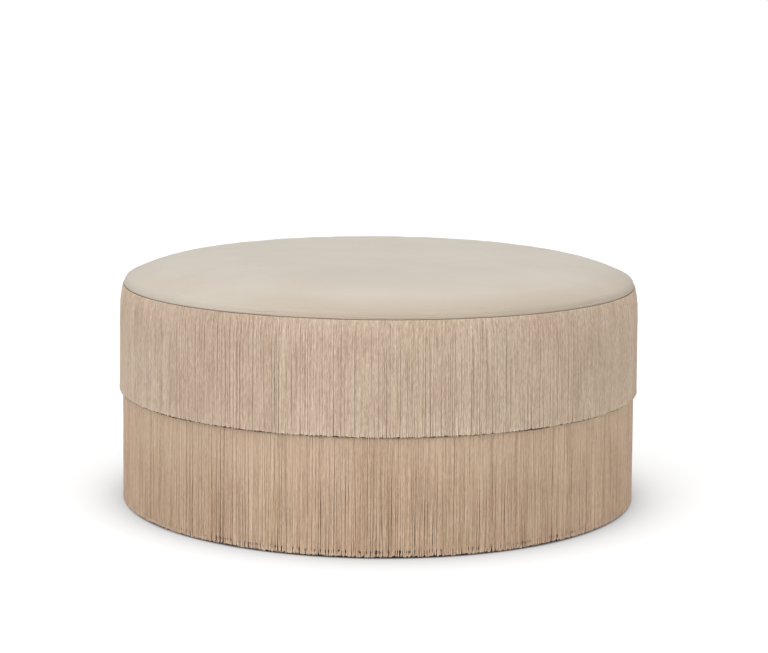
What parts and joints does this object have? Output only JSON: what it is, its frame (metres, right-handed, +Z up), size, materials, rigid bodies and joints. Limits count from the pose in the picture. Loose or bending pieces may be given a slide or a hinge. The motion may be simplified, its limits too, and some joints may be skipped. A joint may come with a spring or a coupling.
{
  "type": "round fringed tuffet",
  "caption": "Round upholstered tuffet or pouf with a crowned velvet seat over a drum, dressed in two tiers of hanging cord fringe.",
  "frame": {"origin": "middle of the footprint on the floor", "axes": "+Z up along the tuffet's axis; it is round, so +X and +Y are free, and the two halves of the drum's skin meet on the X axis"},
  "size_m": [1, 1, 0.4685],
  "materials": {
    "velvet": "short-pile velvet, soft sheen",
    "fringe_cord": "twisted matt cord",
    "side_cloth": "plain weave, matt",
    "seam_cloth": "woven tape, matt",
    "plinth_cloth": "plain weave, matt",
    "dust_cloth": "non-woven, matt",
    "fibre": "lofted polyester fibre",
    "foam": "open-cell foam",
    "plywood": "unfinished birch plywood",
    "timber": "planed softwood",
    "glide_plastic": "moulded, satin",
    "screw_steel": "zinc plated"
  },
  "bodies": {
    "root": {"top_cover": "velvet", "seat_wadding": "fibre", "seat_foam": "foam", "top_deck": "plywood", "drum_floor": "plywood", "tack_hoop": "plywood", "side_skin_left": "plywood", "side_skin_right": "plywood", "side_padding": "foam", "side_cover": "side_cloth", "seam_tape": "seam_cloth", "upper_fringe": "fringe_cord", "lower_fringe": "fringe_cord", "base_board": "plywood", "plinth_wall": "plywood", "plinth_cover": "plinth_cloth", "dust_cover": "dust_cloth", "glide_1": "glide_plastic", "glide_screw_1": "screw_steel", "plinth_block_1": "timber", "rib_1": "timber", "deck_screw_1": "screw_steel", "floor_screw_1": "screw_steel", "glide_2": "glide_plastic", "glide_screw_2": "screw_steel", "plinth_block_2": "timber", "rib_2": "timber", "deck_screw_2": "screw_steel", "floor_screw_2": "screw_steel", "glide_3": "glide_plastic", "glide_screw_3": "screw_steel", "plinth_block_3": "timber", "rib_3": "timber", "deck_screw_3": "screw_steel", "floor_screw_3": "screw_steel", "glide_4": "glide_plastic", "glide_screw_4": "screw_steel", "plinth_block_4": "timber", "rib_4": "timber", "deck_screw_4": "screw_steel", "floor_screw_4": "screw_steel", "glide_5": "glide_plastic", "glide_screw_5": "screw_steel", "plinth_block_5": "timber", "rib_5": "timber", "deck_screw_5": "screw_steel", "floor_screw_5": "screw_steel", "glide_6": "glide_plastic", "glide_screw_6": "screw_steel", "plinth_block_6": "timber", "rib_6": "timber", "deck_screw_6": "screw_steel", "floor_screw_6": "screw_steel"}
  },
  "joints": []
}
